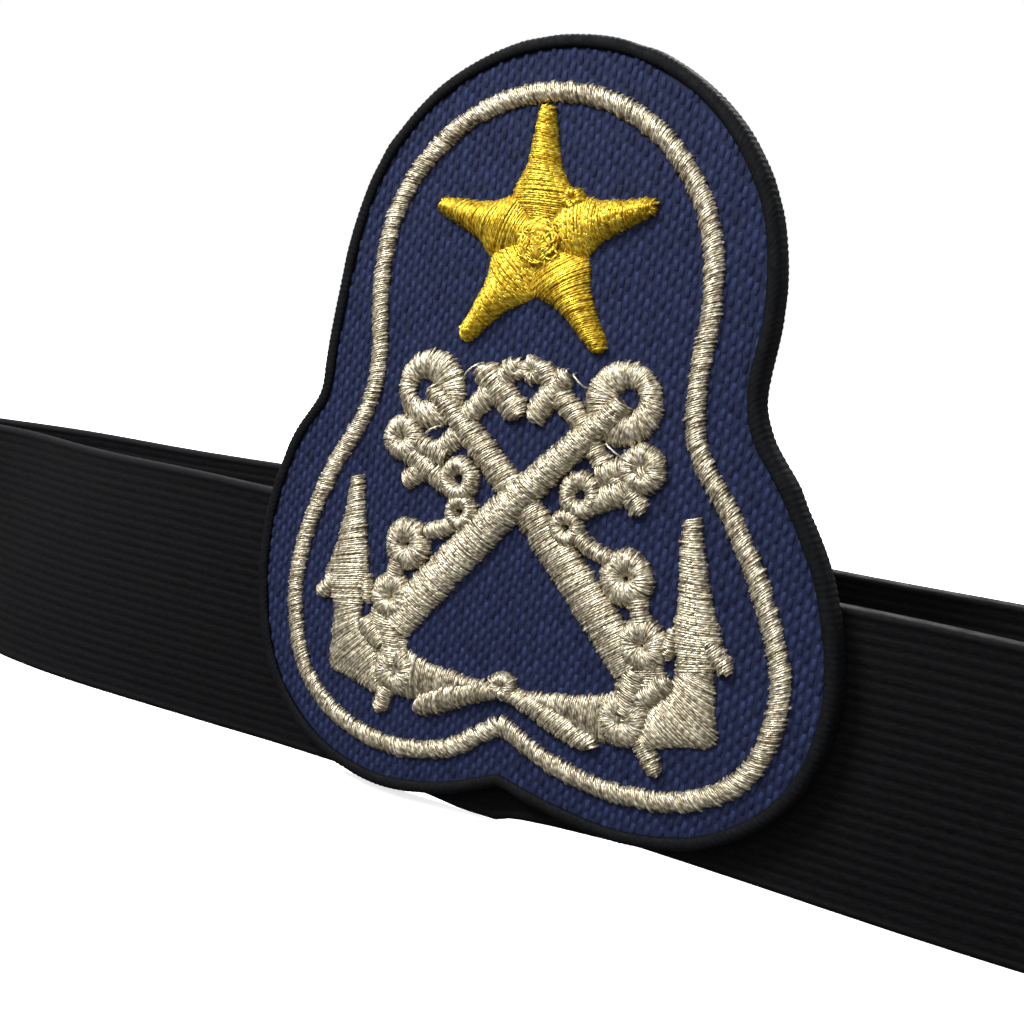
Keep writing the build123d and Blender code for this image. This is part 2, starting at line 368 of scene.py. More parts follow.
    def column(self, path, widths, height=0.9, slant=0.0, rounded=(0.0, 0.0), **options):
        """A satin column along a path, a width for each point, each end rounded over a length."""
        heights = np.broadcast_to(height, len(path))
        line = smooth([(*point, w, h) for point, w, h in zip(path, widths, heights)])
        along = np.gradient(line[:, :2], axis=0)
        steps = np.linalg.norm(along, axis=1)
        along /= steps[:, None]
        travel = np.cumsum(steps) - steps[0]
        for length, distance in zip(rounded, (travel, travel[-1] - travel)):
            if length:
                short = 1 - np.clip(distance / length, 0, 1)
                line[:, 2] *= np.sqrt(1 - 0.85 * short**2)
        across = left_of(along) * line[:, 2:3] / 2
        line = np.hstack([line[:, :2] + across, line[:, :2] - across, line[:, 3:4]])
        line = resample(line, max(6, len(line) // 4))
        self.satin(line[:, :2], line[:, 2:4], line[:, 4], slant, **options)

    def fan(self, centre, inner, outer, height=0.9, hole=(0.0, 0.0), twist=8.0, **options):
        """Stitches that radiate from a small hole, as on a ring or a curl of rope."""
        angle = np.linspace(0, 2 * pi, 30)
        near = np.array(centre) + hole + inner * ray(angle)
        far = np.array(centre) + outer * ray(angle + radians(twist))
        self.satin(near, far, height, **options)

    def loose(self, start, end, rise=1.2, width=0.2):
        """A thread that hangs free between two stitches."""
        share = np.linspace(0, 1, 9)[:, None]
        flat = np.array(start) + (np.array(end) - start) * share
        flat = flat + np.array([0.0, 0.05]) * np.sin(pi * share)
        high = -SINK + (rise + SINK) * np.sin(pi * share) ** 0.3
        self.tubes(np.hstack([flat, high])[None], np.ones(1), width, width)

    def finish(self, name, material, slot, *nodes):
        points, faces = self.place(np.vstack(self.points)), np.vstack(self.faces)
        tint, twist = np.concatenate(self.tints), np.concatenate(self.twists)
        fit(make_object(name, points, faces, material, tint=tint, twist=twist), slot, *nodes)


# ---- materials


def new_material(name, roughness, metallic=0.0, specular=0.5):
    """A material whose constant values sit on the Principled shader's own sockets."""
    material = bpy.data.materials.new(name)
    material.use_nodes = True
    shader = material.node_tree.nodes["Principled BSDF"]
    shader.inputs["Roughness"].default_value = roughness
    shader.inputs["Metallic"].default_value = metallic
    shader.inputs["Specular IOR Level"].default_value = specular
    return material, material.node_tree, shader


def add_node(tree, kind, **values):
    """A node with its named inputs or settings filled in."""
    node = tree.nodes.new(kind)
    for key, value in values.items():
        if key in node.inputs:
            node.inputs[key].default_value = value
        else:
            setattr(node, key, value)
    return node


def attribute(tree, name):
    return add_node(tree, "ShaderNodeAttribute", attribute_name=name).outputs["Fac"]


def noise(tree, scale, detail=3.0, stretch=(1, 1, 1)):
    """A noise whose grain is about 1 / scale metres, and finer by the stretch along each axis."""
    place = add_node(tree, "ShaderNodeTexCoord")
    mapping = add_node(tree, "ShaderNodeMapping", Scale=stretch)
    grain = add_node(tree, "ShaderNodeTexNoise", Scale=scale, Detail=detail)
    tree.links.new(place.outputs["Object"], mapping.inputs["Vector"])
    tree.links.new(mapping.outputs["Vector"], grain.inputs["Vector"])
    return grain.outputs["Fac"]


def ramp(tree, value, *stops):
    """Colours, or greys, along a value: each stop is a position and a colour."""
    node = add_node(tree, "ShaderNodeValToRGB")
    elements = node.color_ramp.elements
    while len(elements) < len(stops):
        elements.new(0.5)
    for element, (position, colour) in zip(elements, stops):
        element.position = position
        element.color = (*colour, 1) if np.ndim(colour) else (colour, colour, colour, 1)
    tree.links.new(value, node.inputs["Fac"])
    return node.outputs["Color"]


def mix_colours(tree, share, first, second, blend="MIX"):
    node = add_node(tree, "ShaderNodeMix", data_type="RGBA", blend_type=blend)
    node.inputs[0].default_value = share
    tree.links.new(first, node.inputs[6])
    tree.links.new(second, node.inputs[7])
    return node.outputs[2]


def bump(tree, shader, height, strength, distance):
    node = add_node(tree, "ShaderNodeBump", Strength=strength, Distance=distance)
    tree.links.new(height, node.inputs["Height"])
    tree.links.new(node.outputs["Normal"], shader.inputs["Normal"])


def calculate(tree, operation, *values):
    node = add_node(tree, "ShaderNodeMath", operation=operation)
    for socket, value in zip(node.inputs, values):
        if isinstance(value, bpy.types.NodeSocket):
            tree.links.new(value, socket)
        else:
            socket.default_value = value
    return node.outputs["Value"]


def thread_material(name, dark, middle, light, metallic, roughness):
    """Metallic embroidery thread: foil wound on a core, so each turn of it glints differently; the glints
    and the dark between turns are painted into the colour.
    """
    material, tree, shader = new_material(name, roughness, metallic)
    wound = calculate(tree, "SINE", calculate(tree, "MULTIPLY", attribute(tree, "twist"), 2 * pi))
    wound = calculate(tree, "MULTIPLY_ADD", wound, 0.5, 0.5)
    deep = [c * 0.3 for c in dark]
    # The tint runs from painted shade through the middle tone to painted highlight
    base = ramp(tree, attribute(tree, "tint"), (0.0, deep), (0.14, dark), (0.55, middle), (1.0, light))
    # Noise speckles the colour with painted glints
    glint = ramp(tree, noise(tree, 2000, 1.0), (0.38, dark), (0.5, middle), (0.62, light))
    colour = mix_colours(tree, 0.3, base, glint)
    # Each turn of the foil is painted as a light dash and a darker groove: painted glint and painted shade
    painted_foil_light = ramp(tree, wound, (0.0, 0.6), (0.45, 1.0), (1.0, 1.1))
    tree.links.new(mix_colours(tree, 1.0, colour, painted_foil_light, "MULTIPLY"), shader.inputs["Base Color"])
    rough = ramp(tree, noise(tree, 1700, 1.0), (0.35, roughness - 0.14), (0.65, roughness + 0.24))
    tree.links.new(rough, shader.inputs["Roughness"])
    foil = calculate(tree, "MULTIPLY_ADD", noise(tree, 1900, 2.0), 2.2, wound)
    bump(tree, shader, foil, 0.6, 0.00004)
    return material


# Each metal's colours: painted shade, middle tone and painted highlight, which each thread's tint runs
# between
SILVERS = (0.13, 0.10, 0.067), (0.46, 0.395, 0.275), (0.89, 0.835, 0.65)
GOLDS = (0.25, 0.11, 0.004), (0.68, 0.43, 0.016), (0.98, 0.80, 0.09)
# Each thread's material, and its slot in the record
silver = thread_material("silver_thread", *SILVERS, 0.78, 0.42), "silver_thread"
gold = thread_material("gold_thread", *GOLDS, 0.7, 0.40), "gold_thread"


def cloth_material():
    """Navy cloth: darker between the raised yarns as painted shade, each yarn a little different."""
    material, tree, shader = new_material("navy_cloth", 0.75, specular=0.12)
    dark, middle, light = (0.006, 0.008, 0.024), (0.010, 0.014, 0.042), (0.018, 0.027, 0.078)
    base = ramp(tree, attribute(tree, "tint"), (0.0, dark), (0.4, middle), (1.0, light))
    fibre = ramp(tree, noise(tree, 2500, 4.0), (0.3, 0.7), (0.7, 1.15))
    tree.links.new(mix_colours(tree, 1.0, base, fibre, "MULTIPLY"), shader.inputs["Base Color"])
    bump(tree, shader, noise(tree, 6000, 3.0), 0.45, 0.00005)
    return material


def black_material(name, light, roughness, grain, stretch=(1, 1, 1), specular=0.05):
    """Black yarn, felt or thread, told apart by its grain."""
    material, tree, shader = new_material(name, roughness, specular=specular)
    value = noise(tree, grain, 4.0, stretch)
    colour = ramp(tree, value, (0.3, [c * 0.45 for c in light]), (0.7, light))
    tree.links.new(colour, shader.inputs["Base Color"])
    rough = ramp(tree, noise(tree, grain / 3), (0.3, roughness - 0.12), (0.7, roughness + 0.1))
    tree.links.new(rough, shader.inputs["Roughness"])
    bump(tree, shader, value, 0.5, 0.00008)
    return material


navy = cloth_material()
elastic_black = black_material("black_elastic", (0.0050, 0.0050, 0.0058), 0.62, 1500, (1, 1, 3))
rim_black = black_material("black_rim_thread", (0.0058, 0.0062, 0.0072), 0.75, 2600, specular=0.07)
felt_black = black_material("black_felt", (0.012, 0.012, 0.013), 0.9, 1800)
thread_black = black_material("black_sewing_thread", (0.024, 0.024, 0.026), 0.45, 4000, specular=0.3)


def plain_layer_material(name, shade, light, grain):
    """Board, foam or felt inside the badge, with its fibres or cells."""
    material, tree, shader = new_material(name, 0.85, specular=0.2)
    value = noise(tree, grain, 5.0)
    tree.links.new(ramp(tree, value, (0.3, shade), (0.7, light)), shader.inputs["Base Color"])
    bump(tree, shader, value, 0.5, 0.0001)
    return material


board_grey = plain_layer_material("grey_board", (0.20, 0.19, 0.17), (0.34, 0.32, 0.29), 900)
foam_white = plain_layer_material("white_foam", (0.60, 0.60, 0.56), (0.78, 0.78, 0.74), 1400)
# The yellow felt is darkened: partly its own colour, partly painted shade where it shows between the star's
# arms
felt_yellow = plain_layer_material("yellow_felt", (0.26, 0.15, 0.008), (0.42, 0.27, 0.02), 1600)

# ---- elastic band

RIBS = 27
RIB_STEPS = 5
RIB_HEIGHT = 0.11
WEFT_PITCH = 1.6  # length between the band's cross-sections
LAP_EASE = 7.0  # length over which the outer end climbs onto the inner one
FRONT_STRAIGHT = 38.0
FRONT_RADIUS, FRONT_ANGLE = 320.0, radians(13)
REAR_ANGLE = radians(8.5)
FOLD_RADIUS = 5.0
FOLD_REACH = 9.0  # length each side of a fold's middle that has closer cross-sections


def half_loop():
    """Travel, places and headings along the right half of the loop, and the middle of its fold."""
    depth = band_high[1] - band_low[1] - 2 * BAND_THICKNESS
    bend_depth = FRONT_RADIUS * (1 - cos(FRONT_ANGLE))
    fold_depth = FOLD_RADIUS * (cos(FRONT_ANGLE) + cos(REAR_ANGLE))
    fold_turn = pi - FRONT_ANGLE - REAR_ANGLE
    rear_radius = (depth - bend_depth - fold_depth) / (1 - cos(REAR_ANGLE))
    bend_reach = FRONT_STRAIGHT + FRONT_RADIUS * sin(FRONT_ANGLE)
    reach = bend_reach + FOLD_RADIUS * (sin(REAR_ANGLE) - sin(FRONT_ANGLE))
    runs = [
        (FRONT_STRAIGHT, 0.0), (FRONT_RADIUS * FRONT_ANGLE, FRONT_ANGLE),
        (FOLD_RADIUS * fold_turn, fold_turn), (rear_radius * REAR_ANGLE, REAR_ANGLE),
        (reach - rear_radius * sin(REAR_ANGLE), 0.0),
    ]
    ends, turned = np.cumsum([(0.0, 0.0), *runs], axis=0).T
    travel = np.linspace(0, ends[-1], 8001)
    heading = np.interp(travel, ends, turned)
    middle = (heading[1:] + heading[:-1]) / 2
    x = np.concatenate([[0], np.cumsum(np.cos(middle) * np.diff(travel))])
    y = np.concatenate([[0], np.cumsum(np.sin(middle) * np.diff(travel))])
    return travel, x, y, heading, (ends[2] + ends[3]) / 2


def band_line():
    """The elastic's middle line from its inner end to its outer end, with outward directions."""
    fine, x, y, heading, fold_middle = half_loop()
    front_middle = band_low[1] + BAND_THICKNESS / 2
    half = fine[-1]
    total = 2 * half + LAP
    # Travel runs anticlockwise seen from above: from the seam along the rear to the left, then the front
    travel = [np.arange(0, total, WEFT_PITCH), [total]]
    for side in (-1, 1):
        fold_at = LAP / 2 + half + side * fold_middle
        travel.append(np.linspace(fold_at - FOLD_REACH, fold_at + FOLD_REACH, 24))
    travel = np.unique(np.concatenate(travel))
    position = travel - LAP / 2 - half  # 0 at the middle of the front, growing to the right
    wrapped = (position + half) % (2 * half) - half
    at = np.abs(wrapped)
    side = np.sign(wrapped)
    px = np.interp(at, fine, x) * side
    py = np.interp(at, fine, y) + front_middle
    turn = np.interp(at, fine, heading)
    out_x = np.sin(turn) * side
    out_y = -np.cos(turn)
    return travel, total, px, py, out_x, out_y, turn


def ease(value):
    value = np.clip(value, 0, 1)
    return value * value * (3 - 2 * value)


# The front run leans out at its foot on the left and in on the right, more and more away from the badge
LEFT_TWIST = radians(15)
RIGHT_TWIST = radians(-5)
TWIST_START, TWIST_GROWTH = 28.0, 60.0
TWIST_END, TWIST_FADE = 112.0, 28.0
# How far the front run's lower edge strays from straight, along x: it sags left of the badge's notch
LOWER_EDGE = [
    (-100.0, -1.2), (-40.0, -1.2), (-12.0, -0.8), (-3.5, -1.5), (0.5, -1.4), (2.5, -0.6),
    (8.0, 0.0), (18.0, 0.8), (30.0, 0.8), (60.0, 0.4), (100.0, 0.2),
]


def build_band():
    """One strip of ribbed elastic with corded edges, its outer end lapped over its inner end."""
    travel, total, px, py, out_x, out_y, turn = band_line()
    climb = ease((travel - (total - LAP - LAP_EASE)) / LAP_EASE) * BAND_THICKNESS
    wave = 0.35 * np.sin(travel / 23.0) + 0.2 * np.sin(travel / 9.1 + 1.3)
    facing = ease(np.cos(turn) / 0.6)  # 1 on the front run, and 0 from the folds' middles to the rear
    wave = wave * ease(np.abs(px) / 50 - 0.6) * facing
    twist = np.where(px < 0, LEFT_TWIST, RIGHT_TWIST) * facing
    twist = twist * ease((np.abs(px) - TWIST_START) / TWIST_GROWTH)
    twist = twist * ease((TWIST_END - np.abs(px)) / TWIST_FADE)

    steps = RIBS * RIB_STEPS
    z = np.linspace(0, 1, steps + 1)
    rib = np.abs(np.sin(pi * RIBS * z)) ** 0.7 * RIB_HEIGHT
    near_edge = np.minimum(z, 1 - z) * BAND_HEIGHT
    selvage = 0.16 * np.exp(-((near_edge - 0.7) / 0.55) ** 2)
    rounding = np.sqrt(np.clip(1 - (1 - np.clip(near_edge / 0.6, 0, 1)) ** 2, 0, 1))
    thick = (BAND_THICKNESS / 2 - RIB_HEIGHT / 2 + rib + selvage) * rounding
    level = z * BAND_HEIGHT
    across = np.concatenate([thick, -thick[-2:0:-1]])
    up = np.concatenate([level, level[-2:0:-1]])

    middle = up - BAND_HEIGHT / 2
    grain = np.random.default_rng(5).normal(0, 0.012, (len(travel), len(up)))
    offset = across + (climb + wave)[:, None] + grain
    lean = middle * np.sin(twist)[:, None]
    x = px[:, None] + out_x[:, None] * offset
    y = py[:, None] + out_y[:, None] * offset + lean
    top = 0.25 * np.sin(travel / 31.0) + 0.12 * np.sin(travel / 7.3) + 0.4 * facing
    bottom = np.interp(px, *np.transpose(LOWER_EDGE)) * facing
    share = up / BAND_HEIGHT
    z_all = up + top[:, None] * share + bottom[:, None] * (1 - share)
    points = np.stack([x, y, z_all], -1)
    rows, columns, _ = points.shape
    faces = grid_faces(rows, columns, wrap_columns=True)
    strip = np.arange(steps)
    back = (columns - strip) % columns
    ahead = columns - 1 - strip
    cap = np.stack([strip, back, ahead, strip + 1], 1).tolist()
    # The cap's first and last faces have only three different corners
    start_faces = [list(dict.fromkeys(face)) for face in cap]
    end_faces = [[v + (rows - 1) * columns for v in face][::-1] for face in start_faces]
    faces = faces[:, ::-1].tolist() + start_faces + end_faces
    band = make_object("elastic_strip", points.reshape(-1, 3) * MM, faces, elastic_black)
    fit(band, "black_elastic", "elastic_band")


build_band()

# ---- seams in black thread

SEAM_STITCH = 2.2
SEAM_PITCH = 3.2
SEAM_HEIGHT = 0.34
SEAM_MARGIN = 2.5  # from the box of stitches to the band's edges and the lap's ends
TACKING_AT = 22.0  # each side of the band's middle
ALONG, UP = np.array([1, 0]), np.array([0, 1])


def build_seam(name, node, seed, face, rows, slip=0.0):
    """Rows of stitches on a rearward face of the band: each has a middle, a count and a direction."""
    place = Place((0, face, BAND_HEIGHT / 2), (-1, 0, 0), (0, 0, 1), (0, 1, 0))
    sewing = Sewing(seed, place)
    starts, ends = [], []
    for middle, count, direction in rows:
        for i in range(count):
            centre = middle + (i - (count - 1) / 2) * SEAM_PITCH * direction
            starts.append(centre - SEAM_STITCH / 2 * direction)
            ends.append(centre + SEAM_STITCH / 2 * direction + slip * ALONG)
    heights = np.full(len(starts), SEAM_HEIGHT)
    sewing.stitches(np.array(starts), np.array(ends), heights, round_power=0.5, ragged=0.03)
    sewing.finish(name, thread_black, "black_sewing_thread", node)


# The lapped ends are sewn in a box, and the badge by two columns, seen inside the front run
side_at = (LAP / 2 - SEAM_MARGIN) * ALONG
level_at = (BAND_HEIGHT / 2 - SEAM_MARGIN) * UP
box_rows = [(-level_at, 4, ALONG), (level_at, 4, ALONG), (-side_at, 7, UP), (side_at, 7, UP)]
badge_rows = [(-TACKING_AT * ALONG, 7, UP), (TACKING_AT * ALONG, 7, UP)]
inner_face = band_low[1] + BAND_THICKNESS
build_seam("rear_seam_thread", "rear_seam_stitches", 11, band_high[1], box_rows)
build_seam("tacking_thread", "badge_tacking_stitches", 12, inner_face, badge_rows, slip=0.25)

# ---- badge layers

HEART = np.array([0.0, -6.0])  # every point of the badge's edge is seen straight from here


def inside(points, line):
    """Which points lie inside a closed outline."""
    x, y = points.T
    odd = np.zeros(len(points), bool)
    for (x0, y0), (x1, y1) in zip(line, np.roll(line, -1, axis=0)):
        if y0 != y1:
            odd ^= ((y0 > y) != (y1 > y)) & (x < (x1 - x0) * (y - y0) / (y1 - y0) + x0)
    return odd


TUCK = 0.6  # how far the layers reach under the rim, past the cloth's visible edge
BACK_LIP = 0.3  # thickness of the rim behind the felt
FELT, BOARD, FOAM = 0.5, 0.6, 0.7
LAYER_GAP = 0.02
EDGE_POINTS = 300
RINGS_OF_POINTS = 44


def lamina(name, low, high, material, roughness, seed):
    """A closed sheet in the badge's shape, from one height to another above the cloth's face."""
    edge = resample(grown(cloth_line, TUCK), EDGE_POINTS + 1)[:-1]
    share = np.linspace(0.02, 1, RINGS_OF_POINTS)
    flat = HEART + (edge - HEART)[None] * share[:, None, None]
    random = np.random.default_rng(seed)
    rough = random.normal(0, 1, flat.shape[:2]) * roughness
    around = np.concatenate([raised(flat, high + rough), raised(flat, low + rough)[::-1]])
    rows, columns, _ = around.shape
    faces = grid_faces(rows, columns, wrap_columns=True).tolist()
    faces.append(list(range(columns))[::-1])
    faces.append([(rows - 1) * columns + i for i in range(columns)])
    # On the cloth sheet, tint 0.4 sits below the yarns' tints: painted shade between the yarns
    tint = 0.4 + random.normal(0, 0.05, around.shape[:2])
    return make_object(name, on_badge(around.reshape(-1, 3)), faces, material, tint=tint.reshape(-1))


felt_low = cloth_front - rim_back + BACK_LIP
felt_high = felt_low + FELT
board_high = felt_high + BOARD
foam_high = board_high + FOAM

felt = lamina("backing_felt_sheet", felt_low, felt_high - LAYER_GAP, felt_black, roughness=0.035, seed=2)
fit(felt, "black_felt", "backing_felt")
board = lamina("stiffener_sheet", felt_high, board_high - LAYER_GAP, board_grey, roughness=0.005, seed=3)
fit(board, "grey_board", "stiffener_board")
foam = lamina("foam_pad", board_high, foam_high - LAYER_GAP, foam_white, roughness=0.02, seed=4)
fit(foam, "white_foam", "foam_padding")


# Cloth and felt are cut to one shape
cut_edge = grown(cloth_line, TUCK)

YARN_ACROSS = 0.78  # from one column of yarns to the next
YARN_DOWN = 1.46  # from one yarn to the next in a column
YARN_STEP = 0.56  # how far each column starts below the one before it
YARN_LENGTH = 1.22
YARN_WIDTH = 0.56
YARN_LEAN = 0.10
CLOTH_TURN = radians(-3)
SHEET_DEPTH = 0.08  # the sheet's face, below the nominal face of the cloth
# Along a raised yarn: where its points are, how wide it is there, how high, and how much lighter as painted
# light: lighter towards its upper end, darker at its lower end
YARN_PLACES = np.array([-0.5, -0.32, 0.0, 0.32, 0.5])
YARN_WIDTHS = np.array([0.55, 0.92, 1.0, 0.92, 0.55])
YARN_HEIGHTS = np.array([-0.09, 0.05, 0.10, 0.08, -0.06])
YARN_PAINTED_LIGHT = np.array([-0.15, -0.02, 0.08, 0.16, 0.05])
YARN_ANGLES = np.radians([0, 45, 90, 135, 180])


def build_cloth():
    """Navy cloth: a sheet under raised warp yarns that step down from column to column."""
    sheet = lamina("ground_cloth_sheet", foam_high, -SHEET_DEPTH, navy, roughness=0.012, seed=6)
    random = np.random.default_rng(7)
    column, row = np.meshgrid(np.arange(-46, 47), np.arange(-40, 40), indexing="ij")
    x = column * YARN_ACROSS
    y = row * YARN_DOWN - (column * YARN_STEP) % YARN_DOWN + 8
    across, down = cos(CLOTH_TURN), sin(CLOTH_TURN)
    centres = np.stack([x * across - y * down, x * down + y * across], -1).reshape(-1, 2)
    centres = centres[inside(centres, grown(cloth_line, 0.1))]
    count = len(centres)
    centres = centres + random.normal(0, 0.06, centres.shape)
    along = unit(np.array([sin(YARN_LEAN), cos(YARN_LEAN)]) + random.normal(0, 0.07, (count, 2)))
    side = -left_of(along)
    length = YARN_LENGTH * random.normal(1, 0.05, count)
    width = YARN_WIDTH / 2 * YARN_WIDTHS[:, None] * np.cos(YARN_ANGLES)
    height = YARN_HEIGHTS[:, None] * np.sin(YARN_ANGLES) - 0.04 * (1 - np.sin(YARN_ANGLES))
    grid = (len(YARN_PLACES), len(YARN_ANGLES))
    points = np.empty((count, *grid, 3))
    reach = (length[:, None] * YARN_PLACES)[:, :, None, None]
    flat = centres[:, None, None] + along[:, None, None] * reach
    points[..., :2] = flat + side[:, None, None] * width[None, :, :, None]
    points[..., 2] = height[None]
    one = grid_faces(*grid)[:, ::-1]
    faces = (one[None] + (np.arange(count) * height.size)[:, None, None]).reshape(-1, 4)
    shade = np.clip(random.normal(0.6, 0.17, count), 0.2, 1)[:, None, None]
    # Each yarn's own tone differs at random; the painted light along it is added on top
    lit = shade + YARN_PAINTED_LIGHT[None, :, None] + np.zeros((count, *grid))
    tint = np.clip(lit, 0, 1).reshape(-1)
    yarns = make_object("ground_cloth_yarns", on_badge(points.reshape(-1, 3)), faces, navy, tint=tint)
    fit(yarns, "navy_cloth")
    fit(sheet, "navy_cloth", "ground_cloth")


build_cloth()

RIM_STEP = 0.12
TURN_PITCH = 0.62  # from one turn of the overcast thread to the next
LUMP_PITCH = 2.1
TURN_SWELL, LUMP_SWELL = 0.03, 0.04


def build_rim():
    """The rolled rim round the layers' edge, with the overcast thread's turns along it."""
    back = felt_low - BACK_LIP
    # Outwards from the cloth's edge and up from its face: the roll, down the side, the lip behind the felt
    section = [
        (0.02, 0.02), (0.06, 0.26), (0.32, 0.43), (0.68, 0.50), (1.04, 0.40), (1.32, 0.12), (1.43, -0.4),
        (1.5, -1.2), (1.56, back + 0.75), (1.36, back + 0.28), (0.9, back + 0.02), (0.2, back - 0.02),
        (-0.4, back + 0.06), (-0.55, back + 0.26), (0.62, back + 0.34), (0.62, 0.0),
    ]
    centre_out, centre_high = 0.5, back / 2
    length = line_length(cloth_line)
    count = int(length / RIM_STEP)
    travel = np.arange(count) * RIM_STEP
    random = np.random.default_rng(9)
    lumps = np.arange(0, length + 5, LUMP_PITCH)
    lump = np.interp(travel, lumps, random.normal(0, 1, len(lumps)))
    turns = np.arange(0, length + 5, TURN_PITCH)
    size = np.interp(travel, turns, random.uniform(0.3, 1.6, len(turns)))
    drift = np.interp(travel, lumps, random.normal(0, 0.5, len(lumps)))
    rows = []
    for out, high in section:
        ring = resample(grown(cloth_line, out), count + 1)[:-1]
        outward = resample(grown(cloth_line, out + 1.0), count + 1)[:-1] - ring
        on_outside = out > 0.64 or high > 0.1 or high < back + 0.1
        wrap = np.sin(2 * pi * (travel + out * 0.5) / TURN_PITCH + drift) * size
        swell = (TURN_SWELL * wrap + LUMP_SWELL * lump) * on_outside
        pull = unit(np.array([out - centre_out, (high - centre_high) * 0.6]))
        rows.append(raised(ring + outward * (pull[0] * swell)[:, None], high + pull[1] * swell))
    points = np.array(rows)
    faces = grid_faces(len(section), count, wrap_rows=True, wrap_columns=True)
    rim = make_object("rolled_rim", on_badge(points.reshape(-1, 3)), faces[:, ::-1], rim_black)
    fit(rim, "black_rim_thread", "edge_binding")


build_rim()

# ---- silver outline

OUTLINE_WIDTH = 1.9


def build_outline():
    """The satin line that follows the badge's edge."""
    sewing = Sewing(21)
    line = resample(silver_line, 420)
    inner = grown(line, -OUTLINE_WIDTH / 2)
    outer = grown(line, OUTLINE_WIDTH / 2)
    sewing.satin(inner, outer, 0.85, slant=0.75, round_power=0.36, ragged=0.11)
    sewing.finish("silver_outline_satin", *silver, "silver_outline")


build_outline()

# ---- star

# Each arm's heading from straight up, in degrees clockwise, and its length
ARMS = {
    "top": (-1.0, 13.3),
    "right": (75.5, 12.8),
    "lower_right": (144.5, 13.5),
    "lower_left": (-141.0, 13.3),
    "left": (-73.5, 12.7),
}
ARM_LENGTH = 13.5  # of the arm that the profile is drawn for
# How far from the star's middle, and half the arm's width there
ARM_PROFILE = [(1.9, 1.9), (3.4, 3.1), (4.75, 3.6), (7.4, 2.15), (10.2, 1.45), (12.3, 1.1), (13.4, 0.75)]
ARM_HEIGHTS = [1.0, 1.35, 1.6, 1.7, 1.6, 1.4, 1.1]
BOSS = STAR + [0.45, -0.35]
BOSS_RADIUS = 2.3
GRAIN_PITCH = 0.24  # between the rings of short stitches on the boss
GRAIN_LENGTH = 0.84


def build_star():
    """Five padded arms of gold satin round a boss of short stitches."""
    for i, (name, (heading, length)) in enumerate(ARMS.items()):
        sewing = Sewing(31 + i)
        along = np.array([sin(radians(heading)), cos(radians(heading))])
        side = left_of(along)
        stretch = length / ARM_LENGTH
        left = [STAR + along * reach * stretch + side * half for reach, half in ARM_PROFILE]
        right = [STAR + along * reach * stretch - side * half for reach, half in ARM_PROFILE]
        split = 0.0 if name in ("left", "lower_right") else 1.3  # two arms are plain satin
        sewing.satin(left, right, ARM_HEIGHTS, slant=0.7, round_power=0.66, ragged=0.06, split=split)
        tip = STAR + along * (length - 0.55)
        sewing.fan(tip, 0.05, 0.85, 1.1)
        if name == "top":
            sewing.fan(STAR + [3.7, 4.0], 0.15, 1.2, 1.5)  # a knot in the corner by the right arm
        sewing.finish(f"star_{name}_satin", *gold, f"star_arm_{name}")

    sewing = Sewing(40)
    level = cloth_front - boss_front - 0.1
    rows = np.linspace(-BOSS_RADIUS, BOSS_RADIUS, 14)
    half_widths = np.sqrt(np.maximum(BOSS_RADIUS**2 - rows**2, 0.2))
    left = BOSS + np.stack([-half_widths, rows], 1)
    right = BOSS + np.stack([half_widths, rows], 1)
    sewing.padding(left, right, level * np.minimum(1.15, 0.7 + half_widths / 4), 0.4)
    middles, turns = [], []
    for radius in np.arange(0.05, BOSS_RADIUS, GRAIN_PITCH):
        count = max(3, int(2 * pi * radius / 0.55))
        turn = np.arange(count) * 2 * pi / count + sewing.random.uniform(0, 2 * pi)
        middles.append(BOSS + radius * ray(turn))
        turns.append(turn + pi / 2)
    middles = np.vstack(middles)
    middles = middles + sewing.random.normal(0, 0.07, middles.shape)
    turns = np.concatenate(turns) + sewing.random.normal(0, 0.5, len(middles))
    crown = level + sewing.random.normal(0, 0.03, len(middles))
    crown = crown - 0.07 * np.linalg.norm(middles - BOSS, axis=1) ** 2
    sewing.grains(middles, GRAIN_LENGTH / 2 * ray(turns), crown)
    sewing.finish("star_boss_satin", *gold, "star_boss")
    scene.objects["star_padding"].data.materials.clear()
    scene.objects["star_padding"].data.materials.append(felt_yellow)


build_star()

# ---- anchors and rope

# Each ring's centre and the place of its hole, by the side where its anchor's flukes lie
RINGS = {1: ((-11.8, 10.9), (-0.9, -0.1)), -1: ((11.2, 10.9), (0.6, 0.45))}
SHANK_PATH = [(-11.4, 11.0), (-6.2, 6.2), (0.0, 0.2), (6.0, -6.0), (14.6, -15.6)]
SHANK_WIDTHS = [2.3, 3.0, 3.6, 4.2, 4.5]
STOCK_LOWER = [(-7.0, 7.4), (-9.6, 4.8), (-13.0, 1.5)]
STOCK_UPPER = [(-7.4, 7.9), (-4.6, 10.8), (-1.6, 14.1)]
KNOB = [(-12.7, 2.0), (-14.4, 0.3)]
